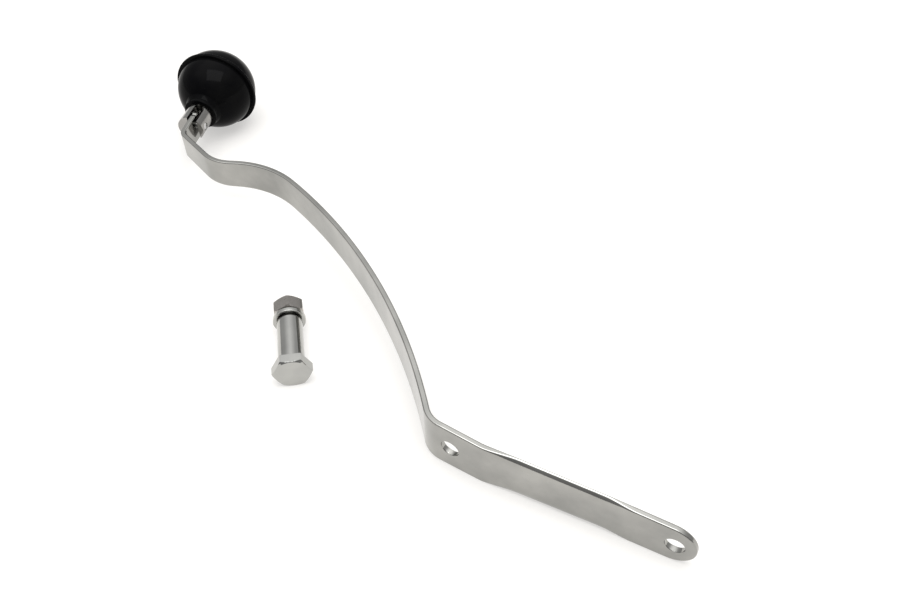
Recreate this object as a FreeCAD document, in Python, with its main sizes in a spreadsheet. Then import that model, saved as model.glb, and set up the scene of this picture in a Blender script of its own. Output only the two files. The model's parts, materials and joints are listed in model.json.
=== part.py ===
"""Motorcycle gear shift lever: a bent flat-steel hand lever with a folding knob and its pivot bolt set.

The frame is the lever's own.  The origin is the centre of the pivot hole, +Y runs along the hole's axis,
+X points at the shift-rod end and +Z runs across the width of the strap.  Millimetres and degrees.
"""
import FreeCAD, Part
import math
import os

import Sketcher
from FreeCAD import Placement, Rotation, Vector

# ---------------------------------------------------------------- driving dimensions
DIMENSIONS = [
    # strap: one flat bar, bent only about the direction of its width
    ("strap_thickness", 3.18), ("strap_blank_width", 32.0),
    ("half_width_pivot", 14.7), ("half_width_eye", 12.65), ("half_width_tongue", 8.7),
    ("pivot_hole_dia", 10.0), ("rod_hole_dia", 9.7), ("rod_hole_x", 112.7), ("eye_round_x", 110.3),
    ("taper_start_x", -5.0), ("taper_end_x", -262.0), ("blank_left_x", -330.0), ("blank_right_x", 160.0),
    # bend table from the pivot hole towards the shift-rod end
    ("foot_run_inner", 15.0), ("joggle_radius", 40.0), ("joggle_turn", 6.1), ("foot_run_middle", 73.0),
    ("joggle_return", 1.3), ("foot_run_outer", 50.0),
    # bend table from the pivot hole towards the knob
    ("arm_run_inner", 6.3), ("elbow_radius", 15.0), ("elbow_turn", 46.4), ("sweep_radius", 365.0),
    ("sweep_turn", 30.2), ("crest_radius", 58.0), ("crest_turn", 42.4), ("arm_run_crest", 3.9),
    ("dip_radius", 25.0), ("dip_turn", 43.7), ("arm_run_outer", 24.9), ("neck_radius", 7.5),
    ("neck_turn", 53.4), ("tongue_run", 15.1), ("tongue_overrun", 12.0), ("blank_margin", 5.0),
    # folding joint, measured along the knob's axis from the hinge pin
    ("hinge_pin_dia", 4.76), ("hinge_pin_length", 16.8), ("hinge_pin_dome", 0.4), ("tongue_hole_dia", 4.9),
    ("barrel_dia", 17.46), ("ear_reach", 4.4), ("collar_face", 11.4), ("slot_width", 6.4),
    ("slot_root", 10.6), ("slot_offset", 2.2), ("tongue_offset", 1.9),
    ("stud_dia", 9.5), ("stud_length", 16.0), ("stud_chamfer", 1.0),
    ("detent_ball_dia", 3.5), ("detent_notch_depth", 0.45), ("ball_bore_dia", 3.6), ("ball_bore_depth", 13.0),
    ("spring_dia", 3.2), ("spring_hole_dia", 2.3), ("spring_length", 10.0), ("detent_gap", 0.05),
    # knob
    ("insert_dia", 14.0), ("insert_start", 12.4), ("insert_length", 18.0),
    ("lip_radius", 11.0), ("lip_height", 2.2), ("groove_height", 3.1), ("groove_radius", 10.4),
    ("shoulder_radius", 12.0), ("ball_radius", 25.7), ("dome_radius", 26.2),
    ("rim_radius", 27.9), ("rim_plane", 39.7),
    ("rim_half_thickness", 1.1), ("rim_round", 0.7), ("knob_wall", 4.0), ("boss_radius", 10.5),
    ("boss_end", 32.0), ("spigot_radius", 21.2), ("spigot_depth", 3.0), ("spigot_wall", 2.4),
    # pivot bolt set
    ("head_flats", 19.05), ("head_thickness", 6.0), ("head_crown_dia", 18.2), ("shank_dia", 14.29),
    ("shank_length", 31.0), ("thread_dia", 9.5), ("thread_length", 15.2), ("thread_chamfer", 0.9),
    ("washer_dia", 18.1), ("washer_hole_dia", 9.9), ("washer_thickness", 2.5), ("washer_gap", 1.8),
    ("washer_slant", 25.0), ("washer_stand", 1.3), ("nut_flats", 15.88), ("nut_thickness", 8.6),
    ("nut_bore_dia", 9.6), ("nut_crown_dia", 15.2), ("nut_stand", 5.4), ("hex_chamfer", 30.0),
    # where the loose bolt set lies beside the lever: centre of the head's front face and its heading
    ("bolt_head_x", -97.5), ("bolt_head_y", -2.5), ("bolt_heading", -48.7),
]

doc = FreeCAD.newDocument("gear_shift_lever")
dims = doc.addObject("Spreadsheet::Sheet", "dims")
for row, (alias, value) in enumerate(DIMENSIONS, start=1):
    dims.set(f"A{row}", alias)
    dims.set(f"B{row}", str(value))
    dims.setAlias(f"B{row}", alias)
doc.recompute()


def d(alias):
    """Value of one driving dimension."""
    return float(dims.get(alias))


# ---------------------------------------------------------------- helpers
UP = Vector(0, 0, 1)
CENTRE = Vector(0, 0, 0)


def value_of(expression):
    """Present value of an expression in the sheet's aliases, such as "dims.shank_dia / 2"."""
    return float(dims.evalExpression(expression))


def new_body(name, placement=Placement()):
    body = doc.addObject("PartDesign::Body", name)
    body.Label = name
    body.Placement = placement
    return body


def new_sketch(body, name, plane, offset=Placement()):
    """Sketch on one of the body's own origin planes, shifted or turned by offset in that plane's frame."""
    sketch = body.newObject("Sketcher::SketchObject", name)
    sketch.AttachmentSupport = [(next(f for f in body.Origin.OriginFeatures if f.Role == plane), "")]
    sketch.MapMode = "FlatFace"
    sketch.AttachmentOffset = offset
    return sketch


def drive(sketch, constraint, expression):
    """Add a dimensional constraint and bind it to the sheet."""
    sketch.setExpression(f"Constraints[{sketch.addConstraint(constraint)}]", expression)


def driven_outline(sketch, corners):
    """Closed outline of straight edges; each corner is a pair of expressions, its x and its y."""
    points = [Vector(value_of(x), value_of(y), 0) for x, y in corners]
    following = points[1:] + points[:1]
    edges = sketch.addGeometry([Part.LineSegment(a, b) for a, b in zip(points, following)])
    for k, edge in enumerate(edges):
        sketch.addConstraint(Sketcher.Constraint("Coincident", edge, 2, edges[(k + 1) % len(edges)], 1))
    for edge, point, (x, y) in zip(edges, points, corners):
        drive(sketch, Sketcher.Constraint("DistanceX", -1, 1, edge, 1, point.x), x)
        drive(sketch, Sketcher.Constraint("DistanceY", -1, 1, edge, 1, point.y), y)
    return edges


def driven_circle(sketch, diameter, x="0", y="0"):
    """Circle whose diameter and centre are expressions."""
    centre = Vector(value_of(x), value_of(y), 0)
    index = sketch.addGeometry(Part.Circle(centre, UP, value_of(diameter) / 2))
    drive(sketch, Sketcher.Constraint("DistanceX", -1, 1, index, 3, centre.x), x)
    drive(sketch, Sketcher.Constraint("DistanceY", -1, 1, index, 3, centre.y), y)
    drive(sketch, Sketcher.Constraint("Diameter", index, value_of(diameter)), diameter)
    return index


def driven_hexagon(sketch, flats):
    """Regular hexagon about the origin with two flats level; flats is the expression across them."""
    corner = value_of(flats) / math.sqrt(3)
    points = [heading_vector(k * math.pi / 3) * corner for k in range(6)]
    edges = sketch.addGeometry([Part.LineSegment(a, b) for a, b in zip(points, points[1:] + points[:1])])
    ring = sketch.addGeometry(Part.Circle(CENTRE, UP, corner), True)
    sketch.addConstraint(Sketcher.Constraint("Coincident", ring, 3, -1, 1))
    for k, edge in enumerate(edges):
        sketch.addConstraint(Sketcher.Constraint("Coincident", edge, 2, edges[(k + 1) % 6], 1))
        sketch.addConstraint(Sketcher.Constraint("PointOnObject", edge, 1, ring))
    for edge in edges[1:]:
        sketch.addConstraint(Sketcher.Constraint("Equal", edges[0], edge))
    sketch.addConstraint(Sketcher.Constraint("Horizontal", edges[1]))
    drive(sketch, Sketcher.Constraint("Distance", edges[0], corner), f"{flats} / sqrt(3)")


def feature(body, kind, name, sketch, bound=None, **settings):
    """PartDesign feature on a sketch; bound maps its size properties to sheet expressions."""
    made = body.newObject(f"PartDesign::{kind}", name)
    made.Profile = sketch
    for key, setting in settings.items():
        setattr(made, key, setting)
    for key, expression in (bound or {}).items():
        made.setExpression(key, expression)
    return made


def revolve(body, kind, name, sketch):
    """Full turn of a sketch about its own vertical axis."""
    return feature(body, kind, name, sketch, ReferenceAxis=(sketch, ["V_Axis"]), Angle=360)


def through_cut(body, name, sketch):
    """Pocket that runs through the body both ways from its sketch."""
    return feature(body, "Pocket", name, sketch, Type="ThroughAll", SideType="Symmetric")


# ---------------------------------------------------------------- the strap's bends
# A row is a straight run or a bend: a bend has a radius and a turn, and a side, 1 to the left and -1 to
# the right as one walks away from the pivot hole.
FOOT_BENDS = [("foot_run_inner",), ("joggle_radius", "joggle_turn", 1), ("foot_run_middle",),
              ("joggle_radius", "joggle_return", -1), ("foot_run_outer",)]
ARM_BENDS = [("arm_run_inner",), ("elbow_radius", "elbow_turn", -1), ("sweep_radius", "sweep_turn", 1),
             ("crest_radius", "crest_turn", 1), ("arm_run_crest",), ("dip_radius", "dip_turn", -1),
             ("arm_run_outer",), ("neck_radius", "neck_turn", -1), ("tongue_run",)]


def heading_vector(angle):
    return Vector(math.cos(angle), math.sin(angle), 0)


def walk(bends, heading):
    """Trace a bend table from the pivot hole.  Returns its edges as geometry, the end point and heading."""
    at, pieces = CENTRE, []
    for row in bends:
        if len(row) == 1:
            end = at + heading_vector(heading) * d(row[0])
            pieces.append(Part.LineSegment(at, end))
        else:
            radius, turn, side = d(row[0]), math.radians(d(row[1])), row[2]
            to_centre = heading_vector(heading + side * math.pi / 2) * radius
            centre = at + to_centre
            half = centre - heading_vector(heading + side * (turn + math.pi) / 2) * radius
            end = centre - heading_vector(heading + side * (turn + math.pi / 2)) * radius
            pieces.append(Part.Arc(at, half, end))
            heading += side * turn
        at = end
    return pieces, at, heading


def bend_sketch(body, name, bends, heading):
    """Centre line of the strap as one chain of tangent lines and arcs, driven by the bend table."""
    sketch = new_sketch(body, name, "XY_Plane")
    pieces, _, _ = walk(bends, heading)
    sketch.addGeometry(pieces)
    entry, leave = 1, 2
    for index, row in enumerate(bends):
        turns_right = len(row) == 3 and row[2] < 0
        start, finish = (leave, entry) if turns_right else (entry, leave)
        if index == 0:
            sketch.addConstraint(Sketcher.Constraint("Coincident", index, start, -1, 1))
            sketch.addConstraint(Sketcher.Constraint("Horizontal", index))
        else:
            sketch.addConstraint(Sketcher.Constraint("Tangent", index - 1, previous_finish, index, start))
        previous_finish = finish
        if len(row) == 1:
            drive(sketch, Sketcher.Constraint("Distance", index, d(row[0])), f"dims.{row[0]}")
        else:
            drive(sketch, Sketcher.Constraint("Radius", index, d(row[0])), f"dims.{row[0]}")
            turn = Sketcher.Constraint("Angle", index, math.radians(d(row[1])))
            drive(sketch, turn, f"dims.{row[1]} * 1 deg")
    return sketch


_, hinge_point, knob_heading = walk(ARM_BENDS, math.pi)

# ---------------------------------------------------------------- lever strap
strap = new_body("lever_strap")
for side, bends, heading in (("foot", FOOT_BENDS, 0.0), ("arm", ARM_BENDS + [("tongue_overrun",)], math.pi)):
    spine = bend_sketch(strap, f"{side}_centre_line", bends, heading)
    section = new_sketch(strap, f"{side}_section", "YZ_Plane")
    half_t, half_w = "dims.strap_thickness / 2", "dims.strap_blank_width / 2"
    driven_outline(section, [(f"-{half_t}", f"-{half_w}"), (half_t, f"-{half_w}"), (half_t, half_w),
                             (f"-{half_t}", half_w)])
    feature(strap, "AdditivePipe", f"{side}_bar", section, Spine=(spine, [""]))

# side outline: widest at the elbow, tapering to both ends, with the shift-rod end rounded off
outline = new_sketch(strap, "side_outline", "XZ_Plane")
blank = "dims.strap_blank_width"
driven_outline(outline, [("dims.blank_left_x", f"-{blank}"), ("dims.blank_right_x", f"-{blank}"),
                         ("dims.blank_right_x", blank), ("dims.blank_left_x", blank)])
taper = [("dims.eye_round_x", "dims.half_width_eye"), ("dims.taper_start_x", "dims.half_width_pivot"),
         ("dims.taper_end_x", "dims.half_width_tongue"),
         ("dims.blank_left_x + dims.blank_margin", "dims.half_width_tongue")]
taper += [(x, f"-{y}") for x, y in reversed(taper)]
corners = [Vector(value_of(x), value_of(y), 0) for x, y in taper]
lines = outline.addGeometry([Part.LineSegment(a, b) for a, b in zip(corners, corners[1:])])
for k, (x, y) in enumerate(taper):
    edge, end = (lines[k], 1) if k < len(lines) else (lines[-1], 2)
    drive(outline, Sketcher.Constraint("DistanceX", -1, 1, edge, end, corners[k].x), x)
    drive(outline, Sketcher.Constraint("DistanceY", -1, 1, edge, end, corners[k].y), y)
for a, b in zip(lines, lines[1:]):
    outline.addConstraint(Sketcher.Constraint("Coincident", a, 2, b, 1))
eye_tip = Vector(d("eye_round_x") + d("half_width_eye"), 0, 0)
eye_arc = outline.addGeometry(Part.Arc(corners[-1], eye_tip, corners[0]))
outline.addConstraint(Sketcher.Constraint("Coincident", eye_arc, 1, lines[-1], 2))
outline.addConstraint(Sketcher.Constraint("Coincident", eye_arc, 2, lines[0], 1))
drive(outline, Sketcher.Constraint("DistanceX", -1, 1, eye_arc, 3, d("eye_round_x")), "dims.eye_round_x")
through_cut(strap, "side_trim", outline)

# the two working holes, each square to the strap where it goes through
_, foot_end, foot_heading = walk(FOOT_BENDS, 0.0)


def on_foot(x):
    """Point of the centre line on the last straight run of the foot, at this distance along X."""
    return foot_end + heading_vector(foot_heading) * ((x - foot_end.x) / math.cos(foot_heading))


rod_hole_at = on_foot(d("rod_hole_x"))
rod_turn = Rotation(Vector(0, 1, 0), math.degrees(foot_heading))
rod_plane = Placement(Vector(rod_hole_at.x, 0, -rod_hole_at.y), rod_turn)
for name, plane in (("pivot_hole", Placement()), ("rod_hole", rod_plane)):
    sketch = new_sketch(strap, name, "XZ_Plane", plane)
    driven_circle(sketch, f"dims.{name}_dia")
    through_cut(strap, f"{name}_bore", sketch)

# the tongue: a plane through the hinge pin, along the knob's axis, holds its round tip, pin hole and notches
tongue_turn = Rotation(Vector(0, 1, 0), math.degrees(knob_heading))
tongue_plane = Placement(Vector(hinge_point.x, 0, -hinge_point.y), tongue_turn)
tip = new_sketch(strap, "tongue_tip", "XZ_Plane", tongue_plane)
reach, tip_radius = "dims.tongue_overrun * 2", "dims.half_width_tongue"
frame_corners = [("0", tip_radius), ("0", blank), (reach, blank), (reach, f"-{blank}"), ("0", f"-{blank}"),
                 ("0", f"-{tip_radius}")]
points = [Vector(value_of(x), value_of(y), 0) for x, y in frame_corners]
tip_lines = tip.addGeometry([Part.LineSegment(a, b) for a, b in zip(points, points[1:])])
for k, (x, y) in enumerate(frame_corners):
    edge, end = (tip_lines[k], 1) if k < len(tip_lines) else (tip_lines[-1], 2)
    drive(tip, Sketcher.Constraint("DistanceX", -1, 1, edge, end, points[k].x), x)
    drive(tip, Sketcher.Constraint("DistanceY", -1, 1, edge, end, points[k].y), y)
for a, b in zip(tip_lines, tip_lines[1:]):
    tip.addConstraint(Sketcher.Constraint("Coincident", a, 2, b, 1))
tip_arc = tip.addGeometry(Part.Arc(points[-1], Vector(d("half_width_tongue"), 0, 0), points[0]))
tip.addConstraint(Sketcher.Constraint("Coincident", tip_arc, 1, tip_lines[-1], 2))
tip.addConstraint(Sketcher.Constraint("Coincident", tip_arc, 2, tip_lines[0], 1))
drive(tip, Sketcher.Constraint("DistanceX", -1, 1, tip_arc, 3, 0), "0")
tongue_zone = "dims.barrel_dia"
feature(strap, "Pocket", "tongue_round", tip, {"Length": tongue_zone}, SideType="Symmetric")
sketch = new_sketch(strap, "tongue_holes", "XZ_Plane", tongue_plane)
driven_circle(sketch, "dims.tongue_hole_dia")
notch_reach = "(dims.half_width_tongue + dims.detent_ball_dia / 2 - dims.detent_notch_depth)"
for x, y in ((notch_reach, "0"), ("0", notch_reach), ("0", f"-{notch_reach}")):
    driven_circle(sketch, "dims.detent_ball_dia", x, y)
feature(strap, "Pocket", "tongue_bores", sketch, {"Length": tongue_zone}, SideType="Symmetric")


# ---------------------------------------------------------------- folding joint and knob
# Head frame: origin on the hinge pin, +Z along the knob's axis, +Y up across the strap, +X along the pin.
# The tongue lies off the knob's axis, on the frame's -X side, and the slot with the detent bore goes with it.
axis = heading_vector(knob_heading)
sideways = UP.cross(axis)
head = Placement(hinge_point + sideways * d("tongue_offset"), Rotation(sideways, UP, axis, "ZXY"))
on_tongue = head * Placement(Vector(-d("tongue_offset"), 0, 0), Rotation())

clevis = new_body("hinge_clevis", head)
sketch = new_sketch(clevis, "clevis_profile", "XZ_Plane")
barrel, stud, stud_top = "dims.barrel_dia / 2", "dims.stud_dia / 2", "dims.collar_face + dims.stud_length"
driven_outline(sketch, [("0", "-dims.ear_reach"), (barrel, "-dims.ear_reach"), (barrel, "dims.collar_face"),
                        (stud, "dims.collar_face"), (stud, f"{stud_top} - dims.stud_chamfer"),
                        (f"{stud} - dims.stud_chamfer", stud_top), ("0", stud_top)])
revolve(clevis, "Revolution", "turned_blank", sketch)
sketch = new_sketch(clevis, "slot_outline", "XZ_Plane")
side, mouth = "dims.slot_width / 2", "-(dims.ear_reach + dims.slot_width)"
slot_left, slot_right = f"-dims.slot_offset - {side}", f"{side} - dims.slot_offset"
root_centre = f"(dims.slot_root - {side})"
driven_outline(sketch, [(slot_left, mouth), (slot_right, mouth), (slot_right, root_centre),
                        (slot_left, root_centre)])
through_cut(clevis, "slot", sketch)
sketch = new_sketch(clevis, "slot_root_circle", "XZ_Plane")
driven_circle(sketch, "dims.slot_width", "-dims.slot_offset", root_centre)
through_cut(clevis, "slot_round_root", sketch)
sketch = new_sketch(clevis, "pin_hole_circle", "YZ_Plane")
driven_circle(sketch, "dims.hinge_pin_dia")
through_cut(clevis, "pin_hole", sketch)
sketch = new_sketch(clevis, "ball_bore_circle", "XY_Plane", Placement(UP * value_of(root_centre), Rotation()))
driven_circle(sketch, "dims.ball_bore_dia", "-dims.tongue_offset")
feature(clevis, "Pocket", "ball_bore", sketch, {"Length": f"dims.ball_bore_depth + {side}"}, Reversed=True)

pin = new_body("hinge_pin", head)
sketch = new_sketch(pin, "pin_profile", "XY_Plane")
half_pin, pin_radius = "dims.hinge_pin_length / 2", "dims.hinge_pin_dia / 2"
shoulder = f"{half_pin} - dims.hinge_pin_dome"
nose = f"{pin_radius} - dims.hinge_pin_dome"
driven_outline(sketch, [(f"-({half_pin})", "0"), (half_pin, "0"), (half_pin, nose), (shoulder, pin_radius),
                        (f"-({shoulder})", pin_radius), (f"-({half_pin})", nose)])
feature(pin, "Revolution", "pin", sketch, ReferenceAxis=(sketch, ["H_Axis"]), Angle=360)

ball = doc.addObject("Part::Sphere", "detent_ball")
ball.setExpression("Radius", "dims.detent_ball_dia / 2")
ball_seat = d("half_width_tongue") + d("detent_ball_dia") / 2 + d("detent_gap")
ball.Placement = on_tongue * Placement(UP * ball_seat, Rotation())

spring = new_body("detent_spring", on_tongue)
spring_start = ball_seat + d("detent_ball_dia") / 2
sketch = new_sketch(spring, "spring_circles", "XY_Plane", Placement(UP * spring_start, Rotation()))
driven_circle(sketch, "dims.spring_dia")
driven_circle(sketch, "dims.spring_hole_dia")
feature(spring, "Pad", "spring_sleeve", sketch, {"Length": "dims.spring_length"})

insert = new_body("knob_insert", head)
sketch = new_sketch(insert, "insert_profile", "XZ_Plane")
outer, bore, end = "dims.insert_dia / 2", "dims.stud_dia / 2", "dims.insert_start + dims.insert_length"
driven_outline(sketch, [(bore, "dims.insert_start"), (outer, "dims.insert_start"), (outer, end), (bore, end)])
revolve(insert, "Revolution", "bush", sketch)


def knob_shell(name, start, rows):
    """Revolve a closed chain of lines and ball arcs.  Rows: ("line", x, z) or ("ball", radius, x, z)."""
    body = new_body(name, head)
    profile = new_sketch(body, f"{name}_profile", "XZ_Plane")
    corners = [start] + [row[-2:] for row in rows]
    places = [Vector(value_of(x), value_of(z), 0) for x, z in corners]
    rim_centre = Vector(0, d("rim_plane"), 0)
    edges, ends = [], []
    for a, b, row in zip(places, places[1:] + places[:1], rows + [("line",)]):
        if row[0] == "ball":
            middle = (a + b) * 0.5 - rim_centre
            middle.normalize()
            edges.append(profile.addGeometry(Part.Arc(a, rim_centre + middle * value_of(row[1]), b)))
            clockwise = (a - rim_centre).cross(b - rim_centre).z < 0
        else:
            edges.append(profile.addGeometry(Part.LineSegment(a, b)))
            clockwise = False
        ends.append((2, 1) if clockwise else (1, 2))
    for k, (edge, (x, z), at) in enumerate(zip(edges, corners, places)):
        begin = ends[k][0]
        profile.addConstraint(Sketcher.Constraint("Coincident", edges[k - 1], ends[k - 1][1], edge, begin))
        drive(profile, Sketcher.Constraint("DistanceX", -1, 1, edge, begin, at.x), x)
        drive(profile, Sketcher.Constraint("DistanceY", -1, 1, edge, begin, at.y), z)
    for edge, row in zip(edges, rows):
        if row[0] == "ball":
            profile.addConstraint(Sketcher.Constraint("PointOnObject", edge, 3, -2))
    revolve(body, "Revolution", f"{name}_turned", profile)


def ball_height(radius, x):
    """Expression for how far a ball of this radius rises from the rim plane at distance x from the axis."""
    return f"sqrt({radius}^2 - ({x})^2)"


plane, ball_r, dome_r = "dims.rim_plane", "dims.ball_radius", "dims.dome_radius"
wall, lip, rim = "dims.knob_wall", "dims.lip_radius", "dims.rim_radius"
half_rim, nose_rim = "dims.rim_half_thickness", "dims.rim_half_thickness - dims.rim_round"
boss, boss_end, insert_end = "dims.boss_radius", "dims.boss_end", "dims.insert_start + dims.insert_length"
inner_r = f"({ball_r} - {wall})"
knob_shell("knob_base", ("dims.stud_dia / 2", "dims.collar_face"), [
    ("line", lip, "dims.collar_face"), ("line", lip, "dims.collar_face + dims.lip_height"),
    ("line", "dims.groove_radius", "dims.collar_face + dims.groove_height"),
    ("line", "dims.shoulder_radius", f"{plane} - {ball_height(ball_r, 'dims.shoulder_radius')}"),
    ("ball", ball_r, ball_height(ball_r, half_rim), f"{plane} - {half_rim}"),
    ("line", f"{rim} - dims.rim_round", f"{plane} - {half_rim}"), ("line", rim, f"{plane} - ({nose_rim})"),
    ("line", rim, plane), ("line", inner_r, plane),
    ("ball", inner_r, boss, f"{plane} - {ball_height(inner_r, boss)}"),
    ("line", boss, boss_end), ("line", "dims.stud_dia / 2", boss_end),
    ("line", "dims.stud_dia / 2", insert_end),
    ("line", "dims.insert_dia / 2", insert_end), ("line", "dims.insert_dia / 2", "dims.insert_start"),
    ("line", "dims.stud_dia / 2", "dims.insert_start")])

spigot, spigot_in = "dims.spigot_radius", "(dims.spigot_radius - dims.spigot_wall)"
cavity_r = f"({dome_r} - {wall})"
knob_shell("knob_cap", (rim, plane), [
    ("line", rim, f"{plane} + {nose_rim}"), ("line", f"{rim} - dims.rim_round", f"{plane} + {half_rim}"),
    ("line", ball_height(dome_r, half_rim), f"{plane} + {half_rim}"),
    ("ball", dome_r, "0", f"{plane} + {dome_r}"), ("line", "0", f"{plane} + {cavity_r}"),
    ("ball", cavity_r, spigot_in, f"{plane} + {ball_height(cavity_r, spigot_in)}"),
    ("line", spigot_in, f"{plane} - dims.spigot_depth"), ("line", spigot, f"{plane} - dims.spigot_depth"),
    ("line", spigot, plane)])

# ---------------------------------------------------------------- pivot bolt set
# It lies on the surface that the lever rests on: under the elbow's low edge, the eye's and the knob's rim.
rim_bottom = head.multVec(Vector(0, -d("rim_radius"), d("rim_plane")))
elbow_bottom = Vector(d("taper_start_x"), -d("strap_thickness") / 2, -d("half_width_pivot"))
eye_bottom = on_foot(d("eye_round_x")) - Vector(0, d("strap_thickness") / 2, d("half_width_eye"))
floor_normal = (eye_bottom - elbow_bottom).cross(rim_bottom - elbow_bottom).normalize()

along = heading_vector(math.radians(d("bolt_heading")))
along = (along - floor_normal * along.dot(floor_normal)).normalize()
head_foot = Vector(d("bolt_head_x"), d("bolt_head_y"), 0)
head_foot.z = (elbow_bottom.dot(floor_normal) - head_foot.dot(floor_normal)) / floor_normal.z
head_front = head_foot + floor_normal * (d("head_flats") / 2)
shank_end = head_front - along * (d("head_thickness") + d("shank_length"))
bolt_frame = Placement(shank_end, Rotation(floor_normal.cross(along), floor_normal, along, "ZXY"))
# bolt frame: origin where the shank ends and the thread begins, +Z towards the head, +Y away from the surface


def crown(body, name, face, flats, crown_dia, outward):
    """Groove that turns the corners of a hexagon's end face down to a round crown."""
    cutter = new_sketch(body, f"{name}_outline", "XZ_Plane")
    beyond, rise = f"{flats}", f"({flats} - {crown_dia} / 2) * tan(dims.hex_chamfer * 1 deg) * {-outward}"
    driven_outline(cutter, [(f"{crown_dia} / 2", face), (beyond, face), (beyond, f"{face} + {rise}")])
    revolve(body, "Groove", name, cutter)


bolt = new_body("pivot_bolt", bolt_frame)
sketch = new_sketch(bolt, "shank_profile", "XZ_Plane")
shank, thread, thread_end = "dims.shank_dia / 2", "dims.thread_dia / 2", "-dims.thread_length"
driven_outline(sketch, [("0", thread_end), (f"{thread} - dims.thread_chamfer", thread_end),
                        (thread, "dims.thread_chamfer - dims.thread_length"), (thread, "0"), (shank, "0"),
                        (shank, "dims.shank_length"), ("0", "dims.shank_length")])
revolve(bolt, "Revolution", "turned_shank", sketch)
sketch = new_sketch(bolt, "head_hexagon", "XY_Plane", Placement(UP * d("shank_length"), Rotation()))
driven_hexagon(sketch, "dims.head_flats")
feature(bolt, "Pad", "head", sketch, {"Length": "dims.head_thickness"})
head_face = "(dims.shank_length + dims.head_thickness)"
crown(bolt, "head_crown", head_face, "dims.head_flats", "dims.head_crown_dia", 1)

washer_base = d("washer_stand") + d("washer_thickness")
washer = new_body("lock_washer", bolt_frame * Placement(UP * -washer_base, Rotation(UP, -90)))
sketch = new_sketch(washer, "washer_circles", "XY_Plane")
driven_circle(sketch, "dims.washer_dia")
driven_circle(sketch, "dims.washer_hole_dia")
feature(washer, "Pad", "ring", sketch, {"Length": "dims.washer_thickness"})
sketch = new_sketch(washer, "split_outline", "XZ_Plane")
half_gap, slant = "dims.washer_gap / 2", "dims.washer_thickness * tan(dims.washer_slant * 1 deg)"
driven_outline(sketch, [(f"-{half_gap}", "0"), (half_gap, "0"),
                        (f"{half_gap} + {slant}", "dims.washer_thickness"),
                        (f"{slant} - {half_gap}", "dims.washer_thickness")])
feature(washer, "Pocket", "split", sketch, {"Length": "dims.washer_dia"})

nut_base = d("nut_stand") + d("nut_thickness")
nut = new_body("pivot_nut", bolt_frame * Placement(UP * -nut_base, Rotation(UP, 30)))
sketch = new_sketch(nut, "nut_hexagon", "XY_Plane")
driven_hexagon(sketch, "dims.nut_flats")
driven_circle(sketch, "dims.nut_bore_dia")
feature(nut, "Pad", "nut_blank", sketch, {"Length": "dims.nut_thickness"})
crown(nut, "front_crown", "dims.nut_thickness", "dims.nut_flats", "dims.nut_crown_dia", 1)
crown(nut, "back_crown", "0", "dims.nut_flats", "dims.nut_crown_dia", -1)

# ---------------------------------------------------------------- check and write
doc.recompute()
pieces = [strap, clevis, pin, ball, spring, insert, doc.getObject("knob_base"), doc.getObject("knob_cap"),
          bolt, washer, nut]
failed = [item.Name for item in doc.Objects if {"Invalid", "Error"} & set(item.State)]
if failed:
    raise RuntimeError(f"features failed to recompute: {failed}")
for piece in pieces:
    if piece.Shape.isNull() or not piece.Shape.isValid() or len(piece.Shape.Solids) != 1:
        raise RuntimeError(f"{piece.Label} is not one valid solid")

os.makedirs("parts", exist_ok=True)
for piece in pieces:
    piece.Shape.exportStep(f"parts/{piece.Label}.step")
    box = piece.Shape.BoundBox
    print(f"{piece.Label:14s} {piece.Shape.Volume:9.1f} mm3  x {box.XMin:7.1f} {box.XMax:7.1f}"
          f"  y {box.YMin:6.1f} {box.YMax:6.1f}  z {box.ZMin:6.1f} {box.ZMax:6.1f}")
print("joint point", head.Base, "knob heading", math.degrees(knob_heading), "tongue", hinge_point)
print("rod hole at", rod_hole_at, "heading", math.degrees(foot_heading))
print("shank end at", shank_end, "towards the head", along, "rest normal", floor_normal)
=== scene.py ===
"""Looks of the gear shift lever: bent chrome strap, black knob on a pinned clevis, pivot bolt set.

Lengths are in millimetres up to the last step of each mesh, which goes to metres in the frame of the CAD
model: origin in the pivot hole, +Y along the hole, +X towards the shift-rod eye, +Z across the strap.
"""
import json
import math

import bmesh
import bpy
from mathutils import Matrix, Vector


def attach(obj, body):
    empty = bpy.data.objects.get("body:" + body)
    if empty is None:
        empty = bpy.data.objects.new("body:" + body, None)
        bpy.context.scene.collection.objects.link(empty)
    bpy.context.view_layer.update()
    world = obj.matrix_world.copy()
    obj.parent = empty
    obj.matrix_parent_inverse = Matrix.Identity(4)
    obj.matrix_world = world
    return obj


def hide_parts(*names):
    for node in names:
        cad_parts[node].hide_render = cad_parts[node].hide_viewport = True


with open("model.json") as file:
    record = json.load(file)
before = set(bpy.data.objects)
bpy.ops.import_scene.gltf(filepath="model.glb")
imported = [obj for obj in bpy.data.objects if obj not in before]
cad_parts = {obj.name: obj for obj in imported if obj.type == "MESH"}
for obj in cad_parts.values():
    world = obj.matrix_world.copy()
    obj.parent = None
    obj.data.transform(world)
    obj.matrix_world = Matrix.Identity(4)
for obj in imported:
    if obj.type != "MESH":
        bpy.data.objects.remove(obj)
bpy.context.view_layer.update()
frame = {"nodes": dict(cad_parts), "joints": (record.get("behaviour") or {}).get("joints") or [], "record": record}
NODES = frame["nodes"]
JOINTS = {joint["name"]: joint for joint in frame["joints"]}
MOUNTS = {mount["name"]: mount for mount in frame["record"]["mounts"]}

MM = 0.001
TAU = 2 * math.pi
UP = Vector((0, 0, 1))
SHARP_ANGLE = math.radians(35)
# points closer together than this are merged
MERGE_DISTANCE = 0.0004
# profiles that close on their axis end this far from it
NEAR_AXIS = 0.02


# ---------------------------------------------------------------- mesh helpers
def smooth(share):
    """Ease from 0 to 1 with a level start and end."""
    share = min(1.0, max(0.0, share))
    return share * share * (3 - 2 * share)


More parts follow.
